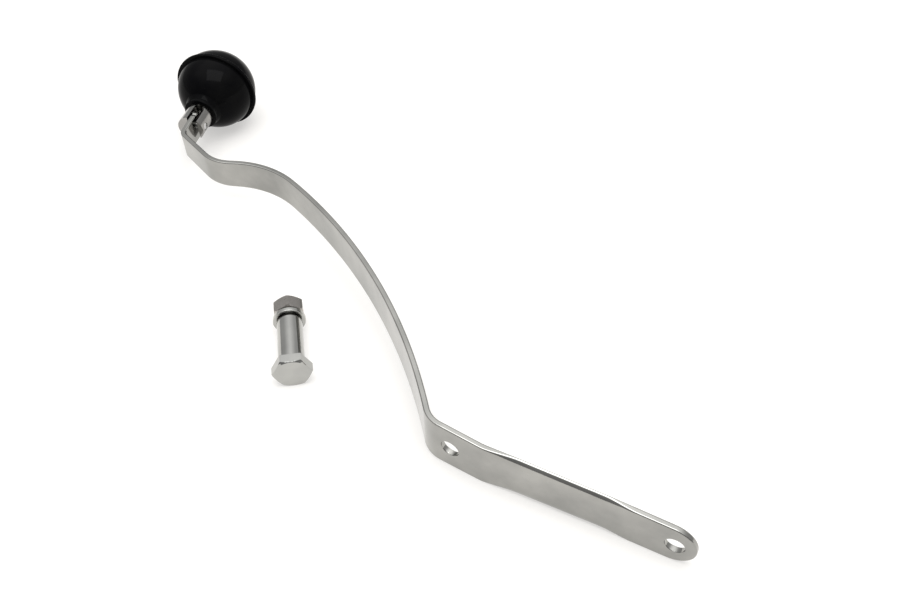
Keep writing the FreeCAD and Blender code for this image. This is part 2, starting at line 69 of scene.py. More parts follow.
def make_object(name, mesh_data, material, body, node):
    """Finish a bmesh as a smooth-shaded piece that rides on a body and stands for a CAD node."""
    bmesh.ops.remove_doubles(mesh_data, verts=mesh_data.verts, dist=MERGE_DISTANCE * MM)
    bmesh.ops.recalc_face_normals(mesh_data, faces=mesh_data.faces)
    mesh = bpy.data.meshes.new(name)
    mesh_data.to_mesh(mesh)
    mesh_data.free()
    piece = bpy.data.objects.new(name, mesh)
    bpy.context.scene.collection.objects.link(piece)
    mesh.shade_smooth()
    mesh.set_sharp_from_angle(angle=SHARP_ANGLE)
    mesh.materials.append(material)
    weighted = piece.modifiers.new("weighted", "WEIGHTED_NORMAL")
    weighted.keep_sharp = True
    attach(piece, body)
    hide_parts(node)


def add_grid(mesh_data, rows):
    """Quads between closed rows of points, each row's end joined to its start."""
    made = [[mesh_data.verts.new(point) for point in row] for row in rows]
    count = len(rows[0])
    for lower, upper in zip(made, made[1:]):
        for k in range(count):
            following = (k + 1) % count
            mesh_data.faces.new([lower[k], lower[following], upper[following], upper[k]])
    return made


def spun(rings, place, segments):
    """Surface of revolution about the local Z axis.

    Each ring is a radius and a height in millimetres. The radius may be a function of the angle, for a
    hexagon, a thread or a knurl. place takes local metres to the frame."""
    mesh_data = bmesh.new()
    rows = []
    for radius, height in rings:
        row = []
        for k in range(segments):
            angle = TAU * k / segments
            r = radius(angle) if callable(radius) else radius
            row.append(place @ Vector((r * math.cos(angle) * MM, r * math.sin(angle) * MM, height * MM)))
        rows.append(row)
    add_grid(mesh_data, rows)
    return mesh_data


def rounded(points, radius, steps=5):
    """Profile of (radius, height) corners, each inner one rounded over less than half of either leg."""
    longest_share = 0.45
    out = [points[0]]
    for before, corner, after in zip(points, points[1:], points[2:]):
        c = Vector(corner)
        into, away = Vector(before) - c, Vector(after) - c
        turn = math.pi - into.angle(away)
        reach = min(radius * math.tan(turn / 2), into.length * longest_share, away.length * longest_share)
        start, end = c + into.normalized() * reach, c + away.normalized() * reach
        for k in range(steps + 1):
            share = k / steps
            out.append(tuple(start * (1 - share) ** 2 + c * 2 * share * (1 - share) + end * share ** 2))
    return out + [points[-1]]


def arc(radius, plane, start_r, end_r, side, steps):
    """Points of a ball's profile between two distances from the axis, side -1 below the plane and 1 above."""
    a, b = math.asin(min(1, start_r / radius)), math.asin(min(1, end_r / radius))
    angles = [a + (b - a) * k / steps for k in range(steps + 1)]
    return [(radius * math.sin(x), plane + side * radius * math.cos(x)) for x in angles]


def tube_along(places, section):
    """Section points (across, up) carried along a list of frames, closed with flat ends."""
    mesh_data = bmesh.new()
    rows = [[place @ (Vector((across, 0, up)) * MM) for across, up in section] for place in places]
    made = add_grid(mesh_data, rows)
    mesh_data.faces.new(made[0])
    mesh_data.faces.new(made[-1][::-1])
    return mesh_data


def turned(place, angle, radius, height):
    """Frame at a radius and height round the local Z axis: its X points outwards and its Y round the ring."""
    return place @ Matrix.Rotation(angle, 4, "Z") @ Matrix.Translation(Vector((radius, 0, height)) * MM)


# ---------------------------------------------------------------- the strap's centre line
THICKNESS = 3.18
HALF_WIDTH_PIVOT, HALF_WIDTH_EYE, HALF_WIDTH_TONGUE = 14.7, 12.65, 8.7
TAPER_START_X, TAPER_END_X, EYE_ROUND_X, ROD_HOLE_X = -5.0, -262.0, 110.3, 112.7
# both run outwards from the pivot hole; runs are (length,) and bends (radius, turn in degrees, side)
# with side 1 to the left and -1 to the right
FOOT = [(15,), (40, 6.1, 1), (73,), (40, 1.3, -1), (50,)]
ARM = [(6.3,), (15, 46.4, -1), (365, 30.2, 1), (58, 42.4, 1), (3.9,), (25, 43.7, -1), (24.9,),
       (7.5, 53.4, -1)]
TONGUE_RUN = 15.1


def run_length(run):
    """Length of a straight run, or of a bend along its centre line."""
    return run[0] if len(run) == 1 else run[0] * math.radians(run[1])


def walk(runs, heading, distance):
    """Point and heading after walking a distance along a chain of runs and bends from the pivot hole."""
    at = Vector((0, 0, 0))
    for run in runs:
        step = min(distance, run_length(run))
        if len(run) == 1:
            at = at + Vector((math.cos(heading), math.sin(heading), 0)) * step
        else:
            radius, _, side = run
            turn = side * step / radius
            centre = at + Vector((-math.sin(heading), math.cos(heading), 0)) * radius * side
            heading += turn
            at = centre - Vector((-math.sin(heading), math.cos(heading), 0)) * radius * side
        distance -= step
        if distance <= 0:
            break
    return at, heading


def centre_line(s):
    """Point and heading of the centre line at a distance s from the pivot hole, negative along the arm."""
    if s >= 0:
        return walk(FOOT, 0.0, s)
    at, heading = walk(ARM, math.pi, -s)
    return at, heading + math.pi


def bend(s, t, z):
    """Take a point of the flat blank, s along it, t through its thickness, z across, to its bent place."""
    at, heading = centre_line(s)
    side = Vector((-math.sin(heading), math.cos(heading), 0))
    return (at + side * t + UP * z) * MM


def distance_at_x(x):
    """How far along the foot its centre line reaches a given x, by halving."""
    low, high = 0.0, sum(run_length(run) for run in FOOT)
    for _ in range(50):
        middle = (low + high) / 2
        low, high = (middle, high) if centre_line(middle)[0].x < x else (low, middle)
    return low


S_EYE, S_ROD = distance_at_x(EYE_ROUND_X), distance_at_x(ROD_HOLE_X)
S_HINGE = -(sum(run_length(run) for run in ARM) + TONGUE_RUN)
ARM.append((TONGUE_RUN + 2 * HALF_WIDTH_TONGUE,))

# ---------------------------------------------------------------- the strap's edges
EDGE, BACK_EDGE, EDGE_STEPS = 0.8, 0.35, 8
# the foot's crowned front edge: the radii of its two arcs and the angle where they meet, then where the
# crown starts and ends along the blank, each with the length over which it fades
CROWN, CROWN_NOSE, CROWN_TURN = 5.6, 1.5, math.radians(47)
CROWN_START, CROWN_RISE, CROWN_END, CROWN_FALL = 17.0, 20, 94.0, 16
NOTCH_DEPTH, NOTCH_RADIUS, NOTCH_BLEND = 0.48, 1.95, 2.6


def half_width(s):
    """Half width of the strap where it is straight-sided."""
    x = centre_line(s)[0].x
    if x >= TAPER_START_X:
        share = (x - TAPER_START_X) / (EYE_ROUND_X - TAPER_START_X)
        return HALF_WIDTH_PIVOT + (HALF_WIDTH_EYE - HALF_WIDTH_PIVOT) * share
    share = min(1.0, (TAPER_START_X - x) / (TAPER_START_X - TAPER_END_X))
    return HALF_WIDTH_PIVOT + (HALF_WIDTH_TONGUE - HALF_WIDTH_PIVOT) * share


def inset_half(s):
    """Half height of the face at s, EDGE inside the outline."""
    if s > S_EYE:
        return math.sqrt(max(0.0, (HALF_WIDTH_EYE - EDGE) ** 2 - (s - S_EYE) ** 2))
    if s < S_HINGE:
        return math.sqrt(max(0.0, (HALF_WIDTH_TONGUE - EDGE) ** 2 - (s - S_HINGE) ** 2))
    return half_width(s) - EDGE


def edge_radii(s, side):
    """Radii of the two arcs that round a long edge: from the face to CROWN_TURN, and from there to the top.

    The front of the foot is crowned, with a wide first arc. The back, side 1, has a small plain one."""
    share = smooth((s - CROWN_START) / CROWN_RISE) * smooth((CROWN_END - s) / CROWN_FALL)
    wide, nose = (BACK_EDGE, BACK_EDGE) if side > 0 else (CROWN, CROWN_NOSE)
    return EDGE + (wide - EDGE) * share, EDGE + (nose - EDGE) * share


def edge_reach(wide, nose):
    """How far in from the outline the rounded edge begins."""
    return wide * math.sin(CROWN_TURN) + nose * (1 - math.sin(CROWN_TURN))


def edge_point(wide, nose, angle):
    """Distance in from the outline and depth below the face, once the edge has turned by an angle."""
    if angle <= CROWN_TURN:
        return edge_reach(wide, nose) - wide * math.sin(angle), wide * (1 - math.cos(angle))
    below = wide * (1 - math.cos(CROWN_TURN)) + nose * (math.cos(CROWN_TURN) - math.cos(angle))
    return nose * (1 - math.sin(angle)), below


def start_angle(wide, nose):
    """How far the edge has turned where the face's grid ends, EDGE in from the outline."""
    return math.asin(max(0.0, edge_reach(wide, nose) - EDGE) / wide)


def face_depth(s, z, half, side):
    """How far the face falls back from its flat at height z."""
    wide, nose = edge_radii(s, side)
    over = max(0.0, abs(z) - (half + EDGE - edge_reach(wide, nose)))
    return wide - math.sqrt(max(0.0, wide ** 2 - over ** 2))


def notched(s, z):
    """Move a point of the tongue's round end inwards where one of the three detent notches is."""
    reach = math.hypot(s - S_HINGE, z)
    start = HALF_WIDTH_TONGUE - EDGE - NOTCH_BLEND
    if reach < start or s > S_HINGE + NOTCH_RADIUS:
        return s, z
    angle = math.atan2(abs(z), S_HINGE - s)
    off = HALF_WIDTH_TONGUE * min(angle, abs(angle - math.pi / 2))
    dip = NOTCH_DEPTH - NOTCH_RADIUS + math.sqrt(max(0.0, NOTCH_RADIUS ** 2 - off ** 2))
    scale = 1 - max(0.0, dip) * smooth((reach - start) / NOTCH_BLEND) / reach
    return S_HINGE + (s - S_HINGE) * scale, z * scale


def surface_point(s, t, z):
    """A point of the strap's outside, moved inwards where a notch is."""
    s, z = notched(s, z)
    return bend(s, t, z)


# ---------------------------------------------------------------- the strap's mesh
# Columns of points stand at places along the blank, and rows lie across it as shares of the face's half
# height. Round each hole a square block of BLOCK by BLOCK quads is left out and filled with rings.
BLOCK = 16
TONGUE_BLOCK, HOLE_BLOCK = 4.0, 7.0
# place along the blank, radius, half length of the block, radius of the rounded lip
HOLES = [(S_HINGE, 2.45, TONGUE_BLOCK, 0.3), (0.0, 5.0, HOLE_BLOCK, 0.45), (S_ROD, 4.85, HOLE_BLOCK, 0.45)]
BLOCK_SHARE = 0.65
EDGE_ROWS = [-1.0, -0.96, -0.91, -0.85, -0.77, -0.7]
BLOCK_ROWS = [BLOCK_SHARE * (2 * k / BLOCK - 1) for k in range(BLOCK + 1)]
ROWS = EDGE_ROWS + BLOCK_ROWS + [-row for row in EDGE_ROWS[::-1]]
FIRST_BLOCK_ROW = len(EDGE_ROWS)
LAST_BLOCK_ROW = FIRST_BLOCK_ROW + BLOCK
TIP_ANGLES = list(range(0, 12, 2)) + list(range(15, 55, 5))
EYE_COLUMNS = 8
COLUMN_STEP, COLUMN_TURN = 2.5, math.radians(2.5)
# rings between a block's border and its hole's lip, as shares of the way
FACE_RINGS, LIP_STEPS = (0.4, 0.75), 4


def even(start, end, count):
    """Values from start up to end, without the end."""
    return [start + (end - start) * k / count for k in range(count)]


def columns():
    """Places along the blank, from the tongue's tip to the eye's, where the mesh has a column of points."""
    tongue_tip, eye_tip = HALF_WIDTH_TONGUE - EDGE, HALF_WIDTH_EYE - EDGE
    tongue, pivot, rod = [(s - reach, s + reach) for s, _, reach, _ in HOLES]
    last = math.acos((rod[1] - S_EYE) / eye_tip)
    return [*(S_HINGE - tongue_tip * math.cos(math.radians(a)) for a in TIP_ANGLES),
            *even(*tongue, BLOCK), *spread(tongue[1], pivot[0]),
            *even(*pivot, BLOCK), *spread(pivot[1], rod[0]),
            *even(*rod, BLOCK),
            *(S_EYE + eye_tip * math.cos(last * (1 - k / EYE_COLUMNS)) for k in range(EYE_COLUMNS + 1))]


def spread(start, end):
    """Columns from start up to end, closer together in the tight bends, with one at each end of a bend."""
    joins = [-sum(run_length(run) for run in ARM[:k]) for k in range(len(ARM), 0, -1)] + [0.0]
    joins += [sum(run_length(run) for run in FOOT[:k]) for k in range(1, len(FOOT) + 1)]
    least = 0.2
    breaks = [start] + [join for join in joins if start + least < join < end - least] + [end]
    probe = 0.05
    out = []
    for a, b in zip(breaks, breaks[1:]):
        middle = (a + b) / 2
        probed = abs(centre_line(middle + probe)[1] - centre_line(middle - probe)[1])
        turn = probed * (b - a) / (2 * probe)
        out += even(a, b, max(1, math.ceil((b - a) / COLUMN_STEP), math.ceil(turn / COLUMN_TURN)))
    return out


def outline_normals(places, halves):
    """Outward normal in the blank's plane at each point of the upper outline."""
    out = []
    last = len(places) - 1
    for k, (s, half) in enumerate(zip(places, halves)):
        if s > S_EYE:
            normal = Vector((s - S_EYE, half))
        elif s < S_HINGE:
            normal = Vector((s - S_HINGE, half))
        else:
            before, after = max(0, k - 1), min(last, k + 1)
            normal = Vector((halves[before] - halves[after], places[after] - places[before]))
        out.append(normal.normalized())
    return out


def build_strap():
    """Two faces with rings round their holes, joined by the rounded rim."""
    mesh_data = bmesh.new()
    places = columns()
    halves = [inset_half(s) for s in places]
    firsts = [min(range(len(places)), key=lambda k: abs(places[k] - (s - reach))) for s, _, reach, _ in HOLES]
    in_block = {first + k for first in firsts for k in range(BLOCK)}
    for side in (-1, 1):
        grid = []
        for s, half in zip(places, halves):
            depths = [THICKNESS / 2 - face_depth(s, row * half, half, side) for row in ROWS]
            points = [surface_point(s, side * depth, row * half) for depth, row in zip(depths, ROWS)]
            grid.append([mesh_data.verts.new(point) for point in points])
        for i in range(len(places) - 1):
            for j in range(len(ROWS) - 1):
                if i in in_block and FIRST_BLOCK_ROW <= j < LAST_BLOCK_ROW:
                    continue
                mesh_data.faces.new([grid[i][j], grid[i + 1][j], grid[i + 1][j + 1], grid[i][j + 1]])
        for first, (s, radius, _, lip) in zip(firsts, HOLES):
            border = block_border(first)
            corners = [Vector((places[i] - s, ROWS[j] * halves[i])) for i, j in border]
            add_hole_side(mesh_data, [grid[i][j] for i, j in border], corners, s, radius, lip, side)
    add_rim(mesh_data, places, halves)
    return mesh_data


def block_border(first):
    """Column and row of each point round the block that starts at a column."""
    out = [(first + k, FIRST_BLOCK_ROW) for k in range(BLOCK)]
    out += [(first + BLOCK, FIRST_BLOCK_ROW + k) for k in range(BLOCK)]
    out += [(first + BLOCK - k, LAST_BLOCK_ROW) for k in range(BLOCK)]
    out += [(first, LAST_BLOCK_ROW - k) for k in range(BLOCK)]
    return out


def add_rim(mesh_data, places, halves):
    """Rounded edge right round the outline, from the front face over the edge to the back face."""
    upper = [(s, half, n.x, n.y) for s, half, n in zip(places, halves, outline_normals(places, halves))]
    loop = upper + [(s, -half, nx, -nz) for s, half, nx, nz in upper[-2:0:-1]]
    rows = []
    for side in (-1, 1):
        for k in range(EDGE_STEPS + 1)[::-side]:
            row = []
            for s, z, nx, nz in loop:
                wide, nose = edge_radii(s, side)
                start = start_angle(wide, nose)
                inward, below = edge_point(wide, nose, start + (math.pi / 2 - start) * k / EDGE_STEPS)
                out = EDGE - inward
                row.append(surface_point(s + nx * out, side * (THICKNESS / 2 - below), z + nz * out))
            rows.append(row)
    add_grid(mesh_data, rows)


def add_hole_side(mesh_data, border, corners, s, radius, lip, side):
    """Rings from the block's border, over the hole's rounded lip, and down half of its wall."""
    angles = [math.atan2(corner.y, corner.x) for corner in corners]

    def ring(r, depth):
        points = [bend(s + r * math.cos(a), side * depth, r * math.sin(a)) for a in angles]
        return [mesh_data.verts.new(point) for point in points]

    rings = [border]
    for share in FACE_RINGS:
        flat = [corner.lerp(Vector((math.cos(a), math.sin(a))) * (radius + lip), share)
                for corner, a in zip(corners, angles)]
        rings.append([mesh_data.verts.new(bend(s + p.x, side * THICKNESS / 2, p.y)) for p in flat])
    for k in range(LIP_STEPS + 1):
        turn = math.pi / 2 * k / LIP_STEPS
        rings.append(ring(radius + lip * (1 - math.sin(turn)), THICKNESS / 2 - lip * (1 - math.cos(turn))))
    rings.append(ring(radius, 0))
    for outer, inner in zip(rings, rings[1:]):
        for k in range(len(border)):
            following = (k + 1) % len(border)
            mesh_data.faces.new([outer[k], outer[following], inner[following], inner[k]])


# ---------------------------------------------------------------- materials
def new_material(name):
    """A material with its nodes, its links and its shader."""
    material = bpy.data.materials.new(name)
    material.use_nodes = True
    tree = material.node_tree
    return material, tree.nodes, tree.links, tree.nodes["Principled BSDF"]


def cloud(nodes, links, scale, detail):
    """Noise over the object."""
    where = nodes.new("ShaderNodeTexCoord")
    texture = nodes.new("ShaderNodeTexNoise")
    texture.inputs["Scale"].default_value = scale
    texture.inputs["Detail"].default_value = detail
    links.new(where.outputs["Object"], texture.inputs["Vector"])
    return texture.outputs["Fac"]


def ramp(nodes, links, source, stops):
    """Colour ramp from (position, colour) stops, where a colour is one grey number or three."""
    node = nodes.new("ShaderNodeValToRGB")
    elements = node.color_ramp.elements
    while len(elements) < len(stops):
        elements.new(0.5)
    for element, (position, colour) in zip(elements, stops):
        element.position = position
        element.color = (*colour, 1) if isinstance(colour, tuple) else (colour, colour, colour, 1)
    links.new(source, node.inputs["Fac"])
    return node.outputs["Color"]


def bump(nodes, links, shader, source, strength, distance, below=None):
    """Turn a height into a normal for the shader, on top of an earlier one if there is one below."""
    node = nodes.new("ShaderNodeBump")
    node.inputs["Strength"].default_value = strength
    node.inputs["Distance"].default_value = distance
    links.new(source, node.inputs["Height"])
    if below:
        links.new(below, node.inputs["Normal"])
    links.new(node.outputs["Normal"], shader.inputs["Normal"])
    return node.outputs["Normal"]


def chrome(name, dark, light, smoothest, dullest, ripple):
    """Polished metal: slightly uneven colour and haze, faint waves left by the buffing wheel, fine grain."""
    material, nodes, links, shader = new_material(name)
    shader.inputs["Metallic"].default_value = 1.0
    patches = cloud(nodes, links, scale=38, detail=4)
    links.new(ramp(nodes, links, patches, [(0.3, dark), (0.7, light)]), shader.inputs["Base Color"])
    haze = cloud(nodes, links, scale=160, detail=6)
    links.new(ramp(nodes, links, haze, [(0.35, smoothest), (0.7, dullest)]), shader.inputs["Roughness"])
    waves = cloud(nodes, links, scale=55, detail=1.5)
    waved = bump(nodes, links, shader, waves, strength=ripple, distance=0.0012)
    grain = cloud(nodes, links, scale=900, detail=2)
    bump(nodes, links, shader, grain, strength=0.03, distance=0.0002, below=waved)
    return material


def black_plastic(name):
    """Gloss black moulding: slight orange peel and a trace of dust."""
    material, nodes, links, shader = new_material(name)
    dust = cloud(nodes, links, scale=90, detail=5)
    links.new(ramp(nodes, links, dust, [(0.35, (0.0025, 0.0025, 0.003)), (0.75, 0.005)]),
              shader.inputs["Base Color"])
    haze = cloud(nodes, links, scale=260, detail=6)
    links.new(ramp(nodes, links, haze, [(0.35, 0.07), (0.75, 0.14)]), shader.inputs["Roughness"])
    peel = cloud(nodes, links, scale=420, detail=2)
    bump(nodes, links, shader, peel, strength=0.05, distance=0.0003)
    shader.inputs["Specular IOR Level"].default_value = 0.03
    return material


CHROME = chrome("chrome_plate", (0.275, 0.275, 0.262), (0.4, 0.395, 0.375), 0.08, 0.15, 0.14)
CLEVIS_CHROME = chrome("clevis_chrome", (0.26, 0.256, 0.245), (0.36, 0.35, 0.34), 0.14, 0.24, 0.1)
BOLT_CHROME = chrome("bolt_chrome", (0.36, 0.36, 0.35), (0.46, 0.46, 0.44), 0.06, 0.12, 0.02)
WASHER_STEEL = chrome("washer_steel", (0.42, 0.42, 0.4), (0.5, 0.5, 0.48), 0.16, 0.26, 0.03)
NUT_STEEL = chrome("nut_steel", (0.34, 0.32, 0.3), (0.42, 0.4, 0.38), 0.22, 0.34, 0.03)
PIN_STEEL = chrome("pin_steel", 0.5, 0.56, 0.14, 0.22, 0.02)
BRASS = chrome("insert_brass", (0.6, 0.42, 0.16), (0.7, 0.5, 0.2), 0.2, 0.32, 0.02)
BLACK = black_plastic("black_moulding")


# ---------------------------------------------------------------- the knob and its hinge
def head_place():
    """Local frame of the knob: origin on the hinge pin, +Z along the knob's axis, +Y up."""
    axis = UP.cross(Vector(JOINTS["knob_fold"]["axis"])).normalized()
    turn = Matrix((UP.cross(axis), UP, axis)).transposed().to_4x4()
    return Matrix.Translation(Vector(JOINTS["knob_fold"]["pos_m"])) @ turn


HEAD = head_place()
RIM_PLANE, RIM, RIM_HALF = 39.7, 27.9, 1.1
# at the split between the two shells each rim's corner is eased by this much
SPLIT_INSET, SPLIT_LIFT = 0.3, 0.06
BALL, DOME, SHELL_WALL = 25.7, 26.2, 4
LIP, LIP_HEIGHT, COLLAR_FACE, GROOVE, SHOULDER = 11.0, 2.2, 11.4, 10.4, 12.0
GROOVE_HEIGHT = COLLAR_FACE + LIP_HEIGHT * 1.4
LIP_ROUND, RIM_ROUND = 0.5, 0.6
BOSS_RADIUS, BOSS_TOP, STUD_RADIUS = 10.5, 32.0, 4.75
SPIGOT_INNER, SPIGOT_OUTER, SPIGOT_DEPTH = 18.8, 21.2, 3
KNOB_SEGMENTS, BALL_STEPS, DOME_STEPS, INSIDE_STEPS = 128, 40, 48, 20


def build_knob_base():
    """Lower shell: lip round the clevis collar, ball, lower half of the rim, and the boss round the bush."""
    outside = arc(BALL, RIM_PLANE, SHOULDER, math.sqrt(BALL ** 2 - RIM_HALF ** 2), -1, BALL_STEPS)
    lip = rounded([(STUD_RADIUS, COLLAR_FACE), (LIP, COLLAR_FACE), (LIP, COLLAR_FACE + LIP_HEIGHT),
                   (GROOVE, GROOVE_HEIGHT), outside[0]], LIP_ROUND)
    rim = rounded([outside[-1], (RIM, RIM_PLANE - RIM_HALF), (RIM, RIM_PLANE - SPLIT_LIFT),
                   (RIM - SPLIT_INSET, RIM_PLANE)], RIM_ROUND)
    hollow = BALL - SHELL_WALL
    inside = [(hollow, RIM_PLANE)] + arc(hollow, RIM_PLANE, hollow, BOSS_RADIUS, -1, INSIDE_STEPS)
    boss = [(BOSS_RADIUS, BOSS_TOP), (STUD_RADIUS, BOSS_TOP), (STUD_RADIUS, COLLAR_FACE)]
    return spun(lip[:-1] + outside + rim[1:] + inside + boss, HEAD, KNOB_SEGMENTS)


def build_knob_cap():
    """Upper shell: upper half of the rim, dome, and the spigot that seats it in the lower shell."""
    foot_radius = math.sqrt(DOME ** 2 - RIM_HALF ** 2)
    rim = rounded([(RIM - SPLIT_INSET, RIM_PLANE), (RIM, RIM_PLANE + SPLIT_LIFT), (RIM, RIM_PLANE + RIM_HALF),
                   (foot_radius, RIM_PLANE + RIM_HALF)], RIM_ROUND)
    outside = arc(DOME, RIM_PLANE, foot_radius, NEAR_AXIS, 1, DOME_STEPS)
    inside = arc(DOME - SHELL_WALL, RIM_PLANE, NEAR_AXIS, SPIGOT_INNER, 1, INSIDE_STEPS)
    spigot = [(SPIGOT_INNER, RIM_PLANE - SPIGOT_DEPTH), (SPIGOT_OUTER, RIM_PLANE - SPIGOT_DEPTH),
              (SPIGOT_OUTER, RIM_PLANE), (RIM - SPLIT_INSET, RIM_PLANE)]
    return spun(rim + outside + inside + spigot, HEAD, KNOB_SEGMENTS)


INSERT_RADIUS, INSERT_START, INSERT_END, INSERT_CHAMFER = 7.0, 12.4, 30.4, 0.5
INSERT_END_INSET, INSERT_GROOVE_DEPTH, INSERT_GROOVE_HALF = 0.8, 0.9, 1.2
KNURL_DEPTH, KNURL_RIDGES, KNURL_SEGMENTS = 0.35, 24, 144


def build_insert():
    """Brass bush with two knurled bands and a plain groove between them, which hold it in the moulding."""
    def knurl(angle):
        return INSERT_RADIUS - KNURL_DEPTH * abs(math.sin(KNURL_RIDGES / 2 * angle))
    middle = (INSERT_START + INSERT_END) / 2
    groove, floor_half = INSERT_RADIUS - INSERT_GROOVE_DEPTH, INSERT_GROOVE_HALF - 0.3
    end_radius = INSERT_RADIUS - INSERT_END_INSET
    rings = [(STUD_RADIUS, INSERT_START), (end_radius, INSERT_START), (knurl, INSERT_START + INSERT_CHAMFER),
             (knurl, middle - INSERT_GROOVE_HALF), (groove, middle - floor_half),
             (groove, middle + floor_half), (knurl, middle + INSERT_GROOVE_HALF),
             (knurl, INSERT_END - INSERT_CHAMFER), (end_radius, INSERT_END),
             (STUD_RADIUS, INSERT_END), (STUD_RADIUS, INSERT_START)]
    return spun(rings, HEAD, KNURL_SEGMENTS)


PIN_RADIUS, PIN_HALF, PIN_ROUND, PIN_SEGMENTS = 2.38, 8.4, 0.3, 48


def build_pin():
    """Hinge pin whose ends are slightly domed."""
    half = [(PIN_RADIUS, PIN_HALF - 0.5), (PIN_RADIUS - 0.2, PIN_HALF - 0.1), (NEAR_AXIS, PIN_HALF)]
    profile = rounded([(radius, -height) for radius, height in half[::-1]] + half, PIN_ROUND)
    return spun(profile, HEAD @ Matrix.Rotation(math.pi / 2, 4, "Y"), PIN_SEGMENTS)


TONGUE_OFFSET = 1.9
ON_TONGUE = HEAD @ Matrix.Translation(Vector((-TONGUE_OFFSET, 0, 0)) * MM)
BALL_SEAT, BALL_RADIUS = 10.5, 1.75
SPRING_START = BALL_SEAT + BALL_RADIUS
SPRING_RADIUS, SPRING_LENGTH, SPRING_WIRE, SPRING_TURNS = 1.6, 10.0, 0.38, 10
STEPS_A_TURN, WIRE_SIDES, END_CLOSING = 20, 8, 0.2


def build_spring():
    """Open coil between the ball and the bottom of the bore, its end turns closed up."""
    wire_angles = [TAU * k / WIRE_SIDES for k in range(WIRE_SIDES)]
    section = [(SPRING_WIRE / 2 * math.cos(a), SPRING_WIRE / 2 * math.sin(a)) for a in wire_angles]
    places = []
    for k in range(SPRING_TURNS * STEPS_A_TURN + 1):
        share = k / (SPRING_TURNS * STEPS_A_TURN)
        rise = share * (1 - END_CLOSING) + smooth(share) * END_CLOSING
        height = SPRING_START + SPRING_WIRE / 2 + (SPRING_LENGTH - SPRING_WIRE) * rise
        places.append(turned(ON_TONGUE, TAU * k / STEPS_A_TURN, SPRING_RADIUS - SPRING_WIRE / 2, height))
    return tube_along(places, section)


# ---------------------------------------------------------------- where the lever rests
# it lies on its elbow's low edge, its eye's low edge and the knob's rim
ELBOW_LOW = Vector((TAPER_START_X, -THICKNESS / 2, -HALF_WIDTH_PIVOT)) * MM
EYE_LOW = bend(S_EYE, -THICKNESS / 2, -HALF_WIDTH_EYE)
RIM_LOW = HEAD @ (Vector((0, -RIM, RIM_PLANE)) * MM)
FLOOR_UP = (EYE_LOW - ELBOW_LOW).cross(RIM_LOW - ELBOW_LOW).normalized()

# ---------------------------------------------------------------- the bolt, its washer and its nut
BOLT_SHANK, SHANK_LENGTH, SHANK_ROUND = 7.145, 31.0, 0.35
BOLT_THREAD, THREAD_LENGTH, PITCH, THREAD_DEPTH = 4.75, 15.2, 1.06, 0.62
HEAD_FLATS, HEAD_CROWN, HEAD_THICKNESS = 19.05, 18.2, 6.0
NUT_FLATS, NUT_CROWN, NUT_THICKNESS, NUT_STAND, NUT_BORE = 15.88, 15.2, 8.6, 5.4, 4.8
COUNTERSINK, COUNTERSINK_DEPTH = 0.3, 0.5
CORNER_ROUND, CROWN_SLOPE = 0.3, math.radians(30)
CROWN_DEPTHS = (0.0, 0.12, 0.25, 0.4, 0.55, 0.7, 0.9, 1.1, 1.3)
WASHER_OUTER, WASHER_INNER, WASHER_THICKNESS, WASHER_STAND, WASHER_ROUND = 9.05, 4.95, 2.5, 1.3, 0.3
# the washer's cut: how wide it is, how far its ends are sprung apart, and where it lies round the bolt
WASHER_GAP, WASHER_KICK, WASHER_SPLIT, WASHER_STEPS = 1.8, 0.35, math.radians(-90), 72
BOLT_SEGMENTS = 96


def bolt_place():
    """Local frame of the bolt set: origin where thread meets shank, +Z to the head, +Y off the floor."""
    journal = MOUNTS["bracket_journal"]
    along = Vector(journal["axis"]).normalized()
    origin = Vector(journal["pos_m"]) - along * SHANK_LENGTH / 2 * MM
    across = FLOOR_UP.cross(along).normalized()
    turn = Matrix((across, along.cross(across), along)).transposed().to_4x4()
    return Matrix.Translation(origin) @ turn


BOLT = bolt_place()


def hex_radius(flats):
    """Polar radius of a hexagon with rounded corners at 0, 60, 120 degrees and so on."""
    sixth = math.pi / 3
    apothem = flats / 2
    centre = (apothem - CORNER_ROUND) / math.cos(sixth / 2)
    flat_half_angle = math.atan((apothem - CORNER_ROUND) * math.tan(sixth / 2) / apothem)

    def radius(angle):
        off_corner = abs((angle + sixth / 2) % sixth - sixth / 2)
        off_flat = sixth / 2 - off_corner
        if off_flat <= flat_half_angle:
            return apothem / math.cos(off_flat)
        aside = centre * math.sin(off_corner)
        return centre * math.cos(off_corner) + math.sqrt(CORNER_ROUND ** 2 - aside ** 2)
    return radius


def crowned_hex(flats, crown, face, inward):
    """Rings of a hexagon whose corners fall away to a round crown at its end face, from the face inward."""
    outline = hex_radius(flats)
    rings = []
    for depth in CROWN_DEPTHS:
        def ring_radius(angle, reach=crown / 2 + depth / math.tan(CROWN_SLOPE)):
            return min(outline(angle), reach)
        rings.append((ring_radius, face + inward * depth))
    return rings


def thread(radius, start, end, fade_start, fade_end, steps_a_turn=8):
    """Rings of a screw thread on a cylinder, running out smoothly over a length at each end."""
    count = math.ceil((end - start) / PITCH * steps_a_turn)
    rings = []
    for k in range(count + 1):
        height = start + (end - start) * k / count
        full = smooth((height - start) / fade_start) * smooth((end - height) / fade_end)

        def ring_radius(angle, height=height, full=full):
            phase = (height / PITCH - angle / TAU) % 1.0
            return radius - THREAD_DEPTH * full * (1 - abs(2 * phase - 1))
        rings.append((ring_radius, height))
    return rings


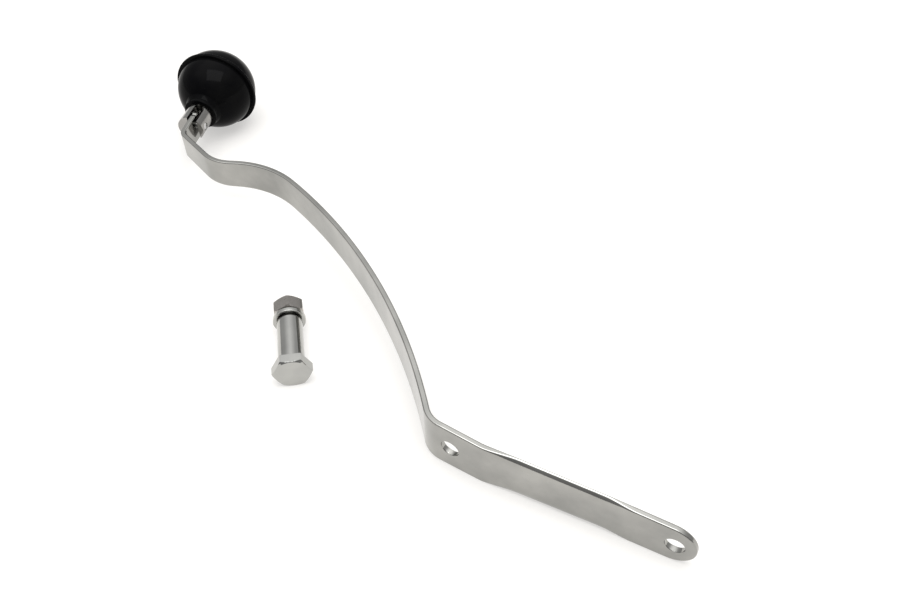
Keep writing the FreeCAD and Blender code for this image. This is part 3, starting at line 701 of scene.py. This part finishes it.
def build_bolt():
    """Shoulder bolt, from the thread's tip over the shank to the crowned head."""
    head_top = SHANK_LENGTH + HEAD_THICKNESS
    tip_chamfer, undercut, step = 0.9, 0.4, 0.2
    tip = [(NEAR_AXIS, -THREAD_LENGTH), (BOLT_THREAD - tip_chamfer, -THREAD_LENGTH)]
    screw = thread(BOLT_THREAD, tip_chamfer - THREAD_LENGTH, -undercut, fade_start=1.2, fade_end=1.6)
    shank = rounded([(BOLT_THREAD, 0.0), (BOLT_SHANK, 0.0), (BOLT_SHANK, SHANK_LENGTH)], SHANK_ROUND)
    outline = hex_radius(HEAD_FLATS)
    fillet = [(BOLT_SHANK, SHANK_LENGTH - 0.5), (BOLT_SHANK + 0.12, SHANK_LENGTH - 0.18),
              (BOLT_SHANK + 0.5, SHANK_LENGTH)]
    underside = [(lambda angle: outline(angle) - step, SHANK_LENGTH), (outline, SHANK_LENGTH + step)]
    head = crowned_hex(HEAD_FLATS, HEAD_CROWN, head_top, -1)[::-1]
    # the head's end face stands very slightly proud in its middle
    face = [(HEAD_CROWN / 2 - 0.25, head_top + 0.05), (4.0, head_top + 0.08), (NEAR_AXIS, head_top + 0.08)]
    return spun(tip + screw + shank[:-1] + fillet + underside + head + face, BOLT, BOLT_SEGMENTS)


def build_nut():
    """Hex nut, a crown at each end, with a countersunk and threaded hole."""
    front, back = -NUT_STAND, -NUT_STAND - NUT_THICKNESS
    outside = crowned_hex(NUT_FLATS, NUT_CROWN, front, -1) + crowned_hex(NUT_FLATS, NUT_CROWN, back, 1)[::-1]
    groove = NUT_BORE + THREAD_DEPTH
    hole = thread(groove, back + COUNTERSINK_DEPTH, front - COUNTERSINK_DEPTH, fade_start=0.4, fade_end=0.4)
    front_edge, back_edge = (groove + COUNTERSINK, front), (groove + COUNTERSINK, back)
    rings = [front_edge] + outside + [back_edge] + hole + [front_edge]
    return spun(rings, BOLT @ Matrix.Rotation(math.radians(30), 4, "Z"), BOLT_SEGMENTS)


def build_lock_washer():
    """Split spring washer: square wire bent to a ring, its cut ends sprung a little apart."""
    middle, half = (WASHER_OUTER + WASHER_INNER) / 2, (WASHER_OUTER - WASHER_INNER) / 2
    edge = WASHER_THICKNESS / 2
    square = [(half, -edge), (half, edge), (-half, edge), (-half, -edge)]
    section = rounded(square + square[:2], WASHER_ROUND, 3)[1:-1]
    gap = WASHER_GAP / 2 / middle
    centre = -WASHER_STAND - edge
    places = []
    for k in range(WASHER_STEPS + 1):
        share = k / WASHER_STEPS
        angle = WASHER_SPLIT + gap + (TAU - 2 * gap) * share
        places.append(turned(BOLT, angle, middle, centre + WASHER_KICK * (share - 0.5)))
    return tube_along(places, section)


# ---------------------------------------------------------------- pieces
PIECES = [
    ("bent_strap", build_strap, CHROME, "lever", "chrome_plate", "lever_strap"),
    ("knob_lower", build_knob_base, BLACK, "knob_head", "black_moulding", "knob_base"),
    ("knob_dome", build_knob_cap, BLACK, "knob_head", "black_moulding", "knob_cap"),
    ("shoulder_bolt", build_bolt, BOLT_CHROME, "bolt_set", "bolt_chrome", "pivot_bolt"),
    ("split_washer", build_lock_washer, WASHER_STEEL, "bolt_set", "washer_steel", "lock_washer"),
    ("threaded_nut", build_nut, NUT_STEEL, "bolt_set", "nut_steel", "pivot_nut"),
    ("coil_spring", build_spring, PIN_STEEL, "knob_head", "pin_steel", "detent_spring"),
    ("domed_pin", build_pin, PIN_STEEL, "knob_head", "pin_steel", "hinge_pin"),
    ("knurled_bush", build_insert, BRASS, "knob_head", "insert_brass", "knob_insert"),
]
for piece_name, build, piece_material, piece_body, piece_slot, replaced_node in PIECES:
    make_object(piece_name, build(), piece_material, piece_body, replaced_node)

# the clevis and the detent ball keep their CAD shape
for kept_node, kept_material in (("hinge_clevis", CLEVIS_CHROME), ("detent_ball", PIN_STEEL)):
    slots = NODES[kept_node].data.materials
    slots.clear()
    slots.append(kept_material)

# ---------------------------------------------------------------- stage, light and camera
FLOOR_RADIUS, FLOOR_SEGMENTS, FLOOR_GLOW = 12.0, 96, 0.5
LOOK_POINT = Vector((-0.0615, 0.0953, -0.0204))
CAMERA_AT = Vector((0.1433, -0.2163, 0.3980))
CAMERA_ROLL = math.radians(-0.8)
LENS, SENSOR_WIDTH, CLIP_START = 38.75, 36, 0.01
LIGHT_OFFSET, LIGHT_SIZE, LIGHT_POWER = Vector((0.05, -0.08, 1.2)), (0.95, 0.75), 7
# the studio: a tent that is brightest overhead and dimmer towards its open front
ROOM_FRONT = Vector((0.55, -0.83, 0))
SKY_STRENGTH = 1.9
SKY_RISE = [(0.0, 0.3), (0.5, 0.26), (0.74, 0.3), (0.79, 0.36), (0.85, 0.5), (0.9, 0.8), (0.95, 1.0)]
SKY_FRONT = [(0.0, 1.0), (0.5, 1.0), (0.62, 0.8), (0.78, 0.6), (1.0, 0.55)]


def build_stage():
    """White paper under the lever, with a glow of its own so that shadows on it stay light."""
    mesh_data = bmesh.new()
    bmesh.ops.create_circle(mesh_data, cap_ends=True, radius=FLOOR_RADIUS, segments=FLOOR_SEGMENTS)
    mesh = bpy.data.meshes.new("floor")
    mesh_data.to_mesh(mesh)
    mesh_data.free()
    floor = bpy.data.objects.new("floor", mesh)
    bpy.context.scene.collection.objects.link(floor)
    tilt = UP.rotation_difference(FLOOR_UP).to_matrix().to_4x4()
    floor.matrix_world = Matrix.Translation(ELBOW_LOW) @ tilt
    material, _, _, shader = new_material("floor_paper")
    shader.inputs["Base Color"].default_value = (0.5, 0.49, 0.475, 1)
    shader.inputs["Roughness"].default_value = 0.9
    shader.inputs["Specular IOR Level"].default_value = 0.0
    shader.inputs["Emission Color"].default_value = (1, 0.99, 0.975, 1)
    shader.inputs["Emission Strength"].default_value = FLOOR_GLOW
    mesh.materials.append(material)


def aim(thing, at, towards):
    """Put a camera or light at a point, looking towards another, upright against the floor."""
    back = (at - towards).normalized()
    right = FLOOR_UP.cross(back).normalized()
    turn = Matrix((right, back.cross(right), back)).transposed().to_4x4()
    thing.matrix_world = Matrix.Translation(at) @ turn


def build_light():
    """One broad soft light above the lever."""
    data = bpy.data.lights.new("overhead", "AREA")
    data.shape = "RECTANGLE"
    data.size, data.size_y = LIGHT_SIZE
    data.energy = LIGHT_POWER
    light = bpy.data.objects.new("overhead", data)
    bpy.context.scene.collection.objects.link(light)
    aim(light, LOOK_POINT + LIGHT_OFFSET, LOOK_POINT)


def build_camera():
    """Camera above and in front of the foot, rolled slightly about its own axis."""
    data = bpy.data.cameras.new("camera")
    data.lens = LENS
    data.sensor_width = SENSOR_WIDTH
    data.clip_start = CLIP_START
    camera = bpy.data.objects.new("camera", data)
    bpy.context.scene.collection.objects.link(camera)
    aim(camera, CAMERA_AT, LOOK_POINT)
    camera.matrix_world = camera.matrix_world @ Matrix.Rotation(CAMERA_ROLL, 4, "Z")
    bpy.context.scene.camera = camera


def along_axis(nodes, links, direction, axis):
    """How far a direction points along an axis: 0 for opposite, 0.5 for square to it, 1 for along it."""
    dot = nodes.new("ShaderNodeVectorMath")
    dot.operation = "DOT_PRODUCT"
    dot.inputs[1].default_value = axis
    links.new(direction, dot.inputs[0])
    scaled = nodes.new("ShaderNodeMath")
    scaled.operation = "MULTIPLY_ADD"
    scaled.inputs[1].default_value = 0.5
    scaled.inputs[2].default_value = 0.5
    links.new(dot.outputs["Value"], scaled.inputs[0])
    return scaled.outputs["Value"]


def build_world():
    """Sky whose brightness is a ramp of height times a ramp from the back of the room to its front."""
    world = bpy.data.worlds.new("studio")
    bpy.context.scene.world = world
    world.use_nodes = True
    nodes, links = world.node_tree.nodes, world.node_tree.links
    direction = nodes.new("ShaderNodeTexCoord").outputs["Generated"]
    rise = ramp(nodes, links, along_axis(nodes, links, direction, FLOOR_UP), SKY_RISE)
    front = ramp(nodes, links, along_axis(nodes, links, direction, ROOM_FRONT), SKY_FRONT)
    product = nodes.new("ShaderNodeVectorMath")
    product.operation = "MULTIPLY"
    links.new(rise, product.inputs[0])
    links.new(front, product.inputs[1])
    links.new(product.outputs["Vector"], nodes["Background"].inputs["Color"])
    nodes["Background"].inputs["Strength"].default_value = SKY_STRENGTH


build_stage()
build_world()
build_light()
build_camera()
bpy.context.scene.view_settings.view_transform = "Standard"
